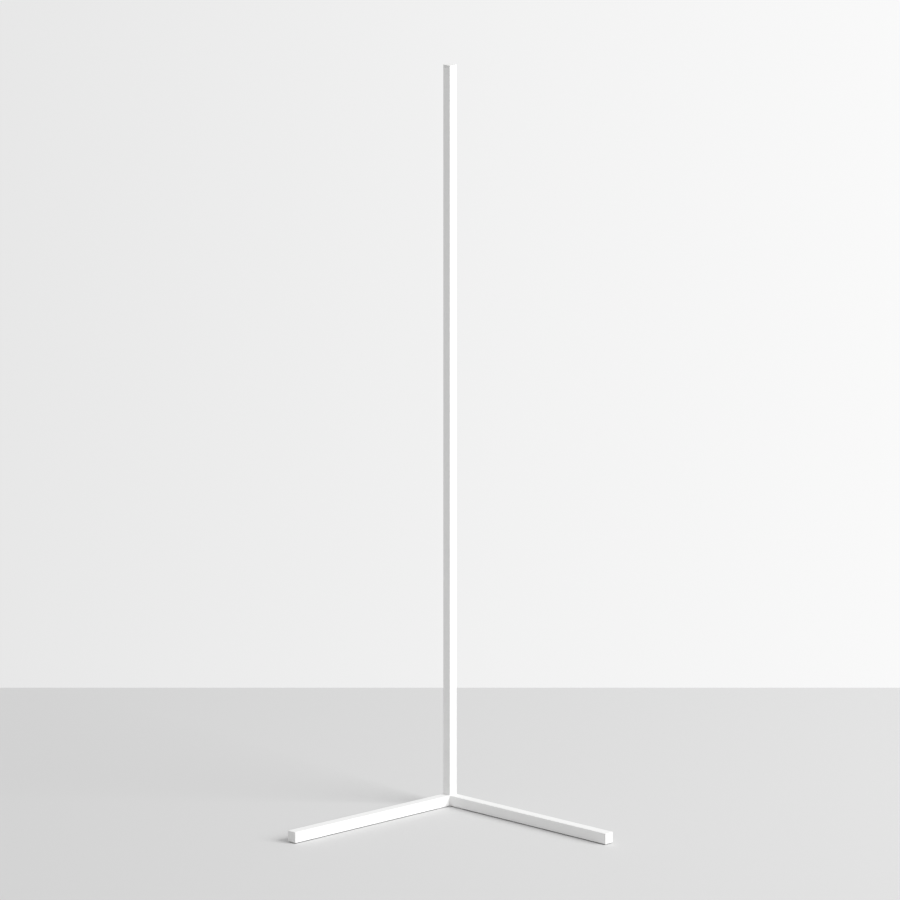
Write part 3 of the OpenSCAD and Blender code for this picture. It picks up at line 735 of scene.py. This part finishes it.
low_screw, high_screw = span("pole_screws", upward)
post_screws = set_in_rows(
    "post_fixings",
    countersunk_screw("web_screw", **web_screw),
    zinc,
    first=into_corner * web_light_side + upward * (low_screw + web_head_d / 2),
    turn=facing_corner, step=(0, 0, high_screw - low_screw - web_head_d), count=2,
)
stand_for(post_screws, "pole_screws")

# Two small screws from below hold the cover under the block
from_below = (math.pi, 0, 0)
plate_head_d = 4.2 * mm
plate_screw = {
    "diameter": 2.5 * mm, "head_diameter": plate_head_d, "length": 7 * mm, "pitch": 0.45 * mm
}
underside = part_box("bottom_plate")[0].z
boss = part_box("plate_screws")[1].x - plate_head_d / 2
plate_screws = set_in_rows(
    "cover_fixings",
    countersunk_screw("plate_screw", **plate_screw),
    zinc,
    first=(boss, -boss, underside), turn=from_below, step=(0, 2 * boss, 0), count=2,
)
stand_for(plate_screws, "plate_screws")


# ---- Bars ----
# The two bars are rectangular steel tube, powder coated white like the block. Each is pushed on
# its tenon and held from below by two countersunk screws. A white plug closes its far end.

for node in ("leg_left", "leg_right"):
    dress(node, base_coat)
for node in ("leg_left_cap", "leg_right_cap"):
    dress(node, moulding)

bar_head_d = 7.2 * mm
bar_screw = {
    "diameter": 4 * mm, "head_diameter": bar_head_d, "length": 9 * mm, "pitch": 0.7 * mm
}
bar_screws_apart = 16 * mm
first_bar_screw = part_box("leg_screws")[1].x - bar_head_d / 2 - bar_screws_apart
bar_screws = set_in_rows(
    "bar_fixings",
    countersunk_screw("bar_screw", **bar_screw),
    zinc,
    first=(first_bar_screw, 0, underside), turn=from_below, step=(bar_screws_apart, 0, 0), count=2,
    row_turn=-math.pi / 2, row_count=2,
)
stand_for(bar_screws, "leg_screws")


# ---- Pads ----
# A round pad of black rubber is glued under the block, and a strip of the same rubber runs under
# each bar, past its screws. They keep the base 1.2 mm off the floor. The strips' black is also
# painted shade: it makes the dark line under each bar, where the gap is only in shade.

# Black rubber for the pads, strips and grommet. Under the bars the strips' black also paints a
# shade line.
black_rubber_and_shade = grained(
    "black_rubber_and_shade", (0.024, 0.024, 0.025), 0.75, grain=0.5 * mm, relief=0.02 * mm, tone=0.15
)
for node in ("corner_pad", "leg_left_pad", "leg_right_pad"):
    dress(node, black_rubber_and_shade)


# ---- Power inlet ----
# The low-voltage inlet is a nickel-plated brass barrel with a fine thread. Its flange lies
# outside the block, a thin hexagon nut holds it inside, and its contacts end in solder tags.

inlet_height = height_of("inlet_pin")
inlet_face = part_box("inlet_shell")[0].x
inlet_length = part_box("inlet_shell")[1].x - inlet_face
barrel_d = 7.8 * mm
flange_d = 10.4 * mm
flange_depth = 1.6 * mm
mouth_d = 5.6 * mm
barrel_pitch = 0.75 * mm
barrel_thread = 0.4 * mm
edge = 0.3 * mm


def along_inlet(mesh, x):
    """Lays a mesh that stands on z = 0 along the inlet's axis, starting at x."""
    mesh.transform(Matrix.Translation((x, 0, inlet_height)) @ Matrix.Rotation(math.pi / 2, 4, "Y"))
    return mesh


def single(name, mesh, finish):
    mesh.materials.append(finish)
    piece = bpy.data.objects.new(name, mesh)
    bpy.context.scene.collection.objects.link(piece)
    return piece


nickel = grained(
    "nickel", (0.68, 0.67, 0.64), 0.2, grain=1.5 * mm, relief=0.002 * mm, tone=0.05, metallic=1
)
shell_rings = [
    round_ring(mouth_d / 2 + edge, 0),
    round_ring(flange_d / 2 - edge, 0),
    round_ring(flange_d / 2, edge),
    round_ring(flange_d / 2, flange_depth),
    round_ring(barrel_d / 2 - barrel_thread, flange_depth),
]
thread_start = flange_depth + edge
thread_step = barrel_pitch / rings_per_turn
for step in range(round((inlet_length - thread_start - edge) / thread_step)):
    shell_rings.append(thread_ring(
        barrel_d / 2, barrel_thread, barrel_pitch, thread_start + step * thread_step
    ))
shell_rings += [
    round_ring(barrel_d / 2 - barrel_thread, inlet_length),
    round_ring(mouth_d / 2, inlet_length),
    round_ring(mouth_d / 2, edge),
]
inlet_barrel = single(
    "inlet_barrel", along_inlet(lofted("inlet_barrel", shell_rings, loop=True), inlet_face), nickel
)
stand_for(inlet_barrel, "inlet_shell")

nut_flats = 10 * mm
nut_depth = 2 * mm
nut_corner = 1.06 * nut_flats / 2
nut_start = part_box("inlet_nut")[0].x
nut_rings = [
    hexagon_ring(nut_flats, 0, widest=nut_corner),
    hexagon_ring(nut_flats, edge),
    hexagon_ring(nut_flats, nut_depth - edge),
    hexagon_ring(nut_flats, nut_depth, widest=nut_corner),
    round_ring(barrel_d / 2 + edge, nut_depth),
    round_ring(barrel_d / 2, nut_depth - edge),
    round_ring(barrel_d / 2, edge),
    round_ring(barrel_d / 2 + edge, 0),
]
inlet_ring_nut = single(
    "inlet_ring_nut", along_inlet(lofted("inlet_ring_nut", nut_rings, loop=True), nut_start), nickel
)
stand_for(inlet_ring_nut, "inlet_nut")

black_moulding = grained(
    "black_moulding", (0.03, 0.03, 0.032), 0.45, grain=0.4 * mm, relief=0.006 * mm, tone=0.1
)
dress("inlet_insert", black_moulding)


# ---- Contacts ----
# The centre pin and the outer contact's ring are tinned brass. Each ends inside the block in a
# flat tag with a hole, to which a lead is soldered.

tinned_brass = grained(
    "tinned_brass", (0.72, 0.64, 0.45), 0.3, grain=1 * mm, relief=0.004 * mm, tone=0.08, metallic=1
)
contact_depth = 0.5 * mm
tag_width = 1.7 * mm
tag_corner = 0.7 * mm
tag_hole = 0.9 * mm
tag_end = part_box("inlet_pin")[1].x
barrel_end = inlet_face + inlet_length
pin_d = 2 * mm
pin_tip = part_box("inlet_pin")[0].x
neck_d = 4.4 * mm
neck_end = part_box("inlet_insert")[1].x
tag_gap = 0.1 * mm
outer_tag_y = neck_d / 2 + tag_gap


def solder_tag(start, y):
    """A tag with a round end and a hole, standing on edge from start to the tags' end."""
    length = tag_end - start
    middle = ((start + tag_end) / 2, 0)
    hole = (tag_end - tag_hole, 0)
    mesh = lofted("tag", [
        block_ring(length, tag_width, tag_corner, 0, middle),
        block_ring(length, tag_width, tag_corner, contact_depth, middle),
        block_ring(tag_hole, tag_hole, tag_hole / 2, contact_depth, hole),
        block_ring(tag_hole, tag_hole, tag_hole / 2, 0, hole),
    ], loop=True)
    on_edge = Matrix.Rotation(math.pi / 2, 4, "X")
    mesh.transform(Matrix.Translation((0, y + contact_depth, inlet_height)) @ on_edge)
    return mesh


def joined(name, *meshes):
    together = bmesh.new()
    for mesh in meshes:
        together.from_mesh(mesh)
    whole = bpy.data.meshes.new(name)
    together.to_mesh(whole)
    together.free()
    return whole


# The pin's rounded tip: radius and distance from its end, as shares of the pin's diameter
tip_shares = ((0.22, 0), (0.38, 0.07), (0.48, 0.25), (0.5, 0.45))
pin_rings = [round_ring(pin_d * radius, pin_d * behind) for radius, behind in tip_shares]
pin_rings.append(round_ring(pin_d / 2, neck_end - pin_tip))
pin_mesh = along_inlet(lofted("pin", pin_rings), pin_tip)
centre_tag = solder_tag(neck_end - contact_depth, -contact_depth / 2)
centre_contact = single(
    "centre_contact", joined("centre_contact", pin_mesh, centre_tag), tinned_brass
)
stand_for(centre_contact, "inlet_pin")

contact_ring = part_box("inlet_sleeve_tag")[1].z - inlet_height
ring_mesh = along_inlet(lofted("ring", [
    round_ring(contact_ring, 0),
    round_ring(contact_ring, contact_depth),
    round_ring(neck_d / 2, contact_depth),
    round_ring(neck_d / 2, 0),
], loop=True), barrel_end)
outer_tag = solder_tag(barrel_end, outer_tag_y)
outer_contact = single(
    "outer_contact", joined("outer_contact", ring_mesh, outer_tag), tinned_brass
)
stand_for(outer_contact, "inlet_sleeve_tag")


# ---- Leads ----
# A red and a black lead run from the tags, round inside the block and up through its roof to the
# strip's lowest pads. They are plastic-covered strands, stripped and tinned at both ends.

lead_d = 1.4 * mm
# The plain CAD lead has eight sides, and this is the distance to the middle of one
lead_flat = lead_d / 2 * math.cos(math.pi / 8)
tag_length = tag_end - neck_end
block_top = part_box("leg_right")[1].z
rim_depth = 0.7 * mm
roof_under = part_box("lead_grommet")[0].z + rim_depth
turn_x = 3.6 * mm
lane_height = 15.7 * mm
turn_radius = (lane_height - inlet_height) / 2
grommet_back = 4.4 * mm
lead_apart = 0.85 * mm
strip_start = strip_foot - block_top
lie_depth = strip_face + pad_depth + lead_flat
pad_foot = strip_foot + pad_lift

insulated_lead = bpy.data.node_groups.new("insulated_lead", "GeometryNodeTree")
given, made = in_out(insulated_lead, (
    ("Path", "NodeSocketGeometry"), ("Radius", "NodeSocketFloat"), ("Sides", "NodeSocketInt"),
    ("Step", "NodeSocketFloat"), ("Bare Length", "NodeSocketFloat"),
    ("Bare Radius", "NodeSocketFloat"), ("Finish", "NodeSocketMaterial"),
))
curve = insulated_lead.nodes.new("GeometryNodeMeshToCurve")
smooth = insulated_lead.nodes.new("GeometryNodeCurveSplineType")
smooth.spline_type = "CATMULL_ROM"
evenly = insulated_lead.nodes.new("GeometryNodeResampleCurve")
evenly.mode = "LENGTH"
along = insulated_lead.nodes.new("GeometryNodeSplineParameter")
whole_length = insulated_lead.nodes.new("GeometryNodeSplineLength")
left_over = math_node(insulated_lead, "SUBTRACT")
nearer_end = math_node(insulated_lead, "MINIMUM")
is_bare = math_node(insulated_lead, "LESS_THAN")
marked = insulated_lead.nodes.new("GeometryNodeStoreNamedAttribute")
marked.inputs["Name"].default_value = "bare"
thickness = insulated_lead.nodes.new("ShaderNodeMix")
outline = insulated_lead.nodes.new("GeometryNodeCurvePrimitiveCircle")
outline.inputs["Radius"].default_value = 1
tube = insulated_lead.nodes.new("GeometryNodeCurveToMesh")
tube.inputs["Fill Caps"].default_value = True
realize = insulated_lead.nodes.new("GeometryNodeRealizeInstances")
paint = insulated_lead.nodes.new("GeometryNodeSetMaterial")
link_nodes(
    insulated_lead,
    (given.outputs["Path"], curve.inputs["Mesh"]),
    (curve.outputs["Curve"], smooth.inputs["Curve"]),
    (smooth.outputs["Curve"], evenly.inputs["Curve"]),
    (given.outputs["Step"], evenly.inputs["Length"]),
    (whole_length.outputs["Length"], left_over.inputs[0]),
    (along.outputs["Length"], left_over.inputs[1]),
    (along.outputs["Length"], nearer_end.inputs[0]),
    (left_over.outputs["Value"], nearer_end.inputs[1]),
    (nearer_end.outputs["Value"], is_bare.inputs[0]),
    (given.outputs["Bare Length"], is_bare.inputs[1]),
    (evenly.outputs["Curve"], marked.inputs["Geometry"]),
    (is_bare.outputs["Value"], marked.inputs["Value"]),
    (is_bare.outputs["Value"], thickness.inputs["Factor"]),
    (given.outputs["Radius"], thickness.inputs["A"]),
    (given.outputs["Bare Radius"], thickness.inputs["B"]),
    (thickness.outputs["Result"], tube.inputs["Scale"]),
    (given.outputs["Sides"], outline.inputs["Resolution"]),
    (marked.outputs["Geometry"], tube.inputs["Curve"]),
    (outline.outputs["Curve"], tube.inputs["Profile Curve"]),
    (tube.outputs["Mesh"], realize.inputs["Geometry"]),
    (realize.outputs["Geometry"], paint.inputs["Geometry"]),
    (given.outputs["Finish"], paint.inputs["Material"]),
    (paint.outputs["Geometry"], made.inputs["Geometry"]),
)


def lead_route(start_y, side):
    """The lead's points, from its tag to its pad, as the CAD lead has them."""
    in_roof = into_corner * grommet_back + along_web * side * lead_apart
    over_pad = into_corner * lie_depth + along_web * side * pad_spacing / 2
    return [
        Vector((neck_end + 0.3 * mm, start_y, inlet_height)),
        Vector((neck_end + 0.6 * tag_length, start_y, inlet_height)),
        Vector((turn_x, start_y, inlet_height)),
        Vector((turn_x + turn_radius * 0.866, start_y, inlet_height + turn_radius * 0.5)),
        Vector((turn_x + turn_radius * 0.866, start_y, inlet_height + turn_radius * 1.5)),
        Vector((turn_x, start_y, lane_height)),
        Vector(((turn_x + in_roof.x) / 2, (start_y + in_roof.y) / 2, lane_height)),
        in_roof + Vector((0.5 * mm, -0.3 * mm, lane_height + 0.2 * mm)),
        in_roof + upward * (roof_under + 0.5 * mm),
        in_roof + upward * block_top,
        in_roof + upward * (block_top + 1.7 * mm),
        in_roof - into_corner * 0.3 * grommet_back + upward * (block_top + strip_start * 0.3),
        over_pad + into_corner * mm + upward * (block_top + strip_start * 0.7),
        over_pad + upward * (block_top + strip_start * 0.88),
        over_pad + upward * pad_foot,
        over_pad + upward * (pad_foot + pad_height * 0.9),
    ]


def lead(name, route, colour):
    path = bpy.data.meshes.new(name)
    path.from_pydata(route, [(point, point + 1) for point in range(len(route) - 1)], [])
    finish = two_tone(
        grained(name + "_cover", colour, 0.38, grain=1 * mm, relief=0.004 * mm, tone=0.06),
        "bare", (0.72, 0.68, 0.62), 0.3, metallic=1,
    )
    piece = worked(name, path, insulated_lead, {
        "Radius": lead_d / 2, "Sides": 16, "Step": 0.5 * mm, "Bare Length": 2.4 * mm,
        "Bare Radius": lead_d * 0.32, "Finish": finish,
    })
    piece.data.shade_smooth()
    piece.data.set_sharp_from_angle(angle=math.radians(60))
    return piece


red_lead = lead("red_lead", lead_route(-contact_depth / 2 - lead_flat, -1), (0.45, 0.015, 0.015))
stand_for(red_lead, "lead_positive")
black_lead = lead("black_lead", lead_route(outer_tag_y - lead_flat, 1), (0.02, 0.02, 0.022))
stand_for(black_lead, "lead_negative")


# ---- Grommet ----
# A moulded black rubber grommet lines the hole in the block's roof, its rims above and below the
# casting, so that the metal doesn't cut the leads.

grommet_low, grommet_high = span("lead_grommet", upward)
rim_radius = 3.5 * mm
seat_radius = 2.8 * mm
hole_radius = 1.75 * mm
soft_edge = 0.22 * mm
grommet_mesh = lofted("grommet", [
    round_ring(hole_radius + soft_edge, grommet_low),
    round_ring(rim_radius - soft_edge, grommet_low),
    round_ring(rim_radius, grommet_low + soft_edge),
    round_ring(rim_radius, grommet_low + rim_depth - soft_edge / 2),
    round_ring(seat_radius, grommet_low + rim_depth),
    round_ring(seat_radius, grommet_high - rim_depth),
    round_ring(rim_radius, grommet_high - rim_depth + soft_edge / 2),
    round_ring(rim_radius, grommet_high - soft_edge),
    round_ring(rim_radius - soft_edge, grommet_high),
    round_ring(hole_radius + soft_edge, grommet_high),
    round_ring(hole_radius, grommet_high - soft_edge),
    round_ring(hole_radius, grommet_low + soft_edge),
], loop=True, smooth_below=50)
grommet_mesh.transform(Matrix.Translation(into_corner * grommet_back))
grommet = single("grommet", grommet_mesh, black_rubber_and_shade)
stand_for(grommet, "lead_grommet")
